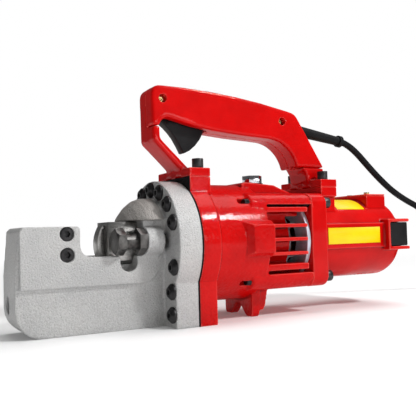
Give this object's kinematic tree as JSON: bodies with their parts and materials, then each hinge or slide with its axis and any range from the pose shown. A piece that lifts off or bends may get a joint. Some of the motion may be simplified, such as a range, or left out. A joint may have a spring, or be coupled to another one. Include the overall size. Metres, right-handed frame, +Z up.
{
  "type": "rebar cutter",
  "caption": "Portable electro-hydraulic rebar cutter: hooked steel head with a ram-driven blade, finned pump housing, motor and a bridge handle with a trigger.",
  "frame": {"origin": "on the base plane under the middle of the machine", "axes": "+X rearwards along the ram and motor axis, +Z up, -Y the side with the support bolt"},
  "size_m": [0.6965, 0.1563, 0.258],
  "materials": {
    "red_paint": "gloss paint over an aluminium casting",
    "cast_silver": "sand-cast texture under silver paint",
    "ground_steel": "ground and machined",
    "black_oxide": "black oxide",
    "chrome": "polished",
    "black_rubber": "matt",
    "black_plastic": "satin moulded",
    "bronze": "turned",
    "zinc_yellow": "yellow zinc plate",
    "copper": "enamelled wire and turned bar",
    "fan_alloy": "die cast",
    "baffle_steel": "pressed sheet",
    "carbon": "pressed carbon",
    "yellow_label": "printed film"
  },
  "bodies": {
    "housing": {"cutter_head": "cast_silver", "flange_gasket": "black_rubber", "pump_housing": "red_paint", "motor_housing": "red_paint", "fixed_blade": "ground_steel", "fixed_blade_screws": "black_oxide", "flange_screws": "black_oxide", "rod_bush": "bronze", "return_spring": "ground_steel", "support_nut": "black_oxide", "filler_plug": "chrome", "filler_washer": "black_rubber", "pump_block": "ground_steel", "pump_plungers": "ground_steel", "plunger_springs": "ground_steel", "pump_plugs": "black_oxide", "eccentric_bearings": "bronze", "armature_bearings": "ground_steel", "shaft_seal": "black_rubber", "fan_baffle": "baffle_steel", "stator_core": "ground_steel", "field_windings": "copper", "motor_screws": "black_oxide", "brush_tubes": "bronze", "carbon_brushes": "carbon", "brush_springs": "ground_steel", "brush_caps": "black_plastic", "terminal_cover": "red_paint", "terminal_screws": "zinc_yellow", "side_label": "yellow_label", "top_label": "yellow_label", "handle_base": "red_paint", "handle_cover": "red_paint", "handle_cover_screws": "zinc_yellow", "handle_screws": "black_oxide", "trigger_pin": "ground_steel", "trigger_spring": "ground_steel", "switch_body": "black_plastic", "cord_sleeve": "black_rubber", "cord_run": "black_rubber", "cord_coil": "black_rubber", "coil_tie": "black_rubber", "mains_plug": "black_rubber", "plug_pins": "bronze"},
    "ram": {"ram_piston": "ground_steel", "piston_seal": "black_rubber", "moving_blade": "ground_steel", "moving_blade_screw": "black_oxide"},
    "support_screw": {"support_bolt": "black_oxide"},
    "trigger": {"trigger": "black_plastic"},
    "plunger": {"switch_plunger": "black_plastic"},
    "armature": {"armature_shaft": "ground_steel", "armature_core": "ground_steel", "armature_windings": "copper", "commutator": "copper", "fan": "fan_alloy"},
    "eccentric": {"eccentric_shaft": "ground_steel", "reduction_gear": "ground_steel"},
    "valve": {"release_valve": "black_oxide"}
  },
  "joints": [
    {"name": "ram_stroke", "type": "slide", "parent": "housing", "child": "ram", "axis": [-1, 0, 0], "range_m": [0, 0.026], "stiffness_N_per_m": 3000, "springref_m": -0.01, "deforming": ["return_spring"]},
    {"name": "support_bolt_screw", "type": "slide", "parent": "housing", "child": "support_screw", "axis": [-1, 0, 0], "range_m": [0, 0.008]},
    {"name": "trigger_press", "type": "hinge", "parent": "housing", "child": "trigger", "pos_m": [-0.077, 0, 0.227], "axis": [0, -1, 0], "range_deg": [0, 12], "stiffness_Nm_per_rad": 1.2, "springref_deg": -8.59, "deforming": ["trigger_spring"]},
    {"name": "switch_press", "type": "slide", "parent": "housing", "child": "plunger", "axis": [0, 0, 1], "range_m": [0, 0.006]},
    {"name": "armature_spin", "type": "hinge", "parent": "housing", "child": "armature", "pos_m": [0, 0, 0.085], "axis": [1, 0, 0], "continuous": true},
    {"name": "eccentric_spin", "type": "hinge", "parent": "housing", "child": "eccentric", "pos_m": [0, 0, 0.059], "axis": [1, 0, 0], "continuous": true},
    {"name": "valve_turn", "type": "hinge", "parent": "housing", "child": "valve", "pos_m": [0.009, 0.065, 0.0885], "axis": [0, 1, 0], "range_deg": [0, 90]}
  ],
  "couplings": [
    {"joint": "switch_press", "follows": "trigger_press", "m_per_rad": 0.028},
    {"joint": "eccentric_spin", "follows": "armature_spin", "ratio": -0.36842}
  ]
}
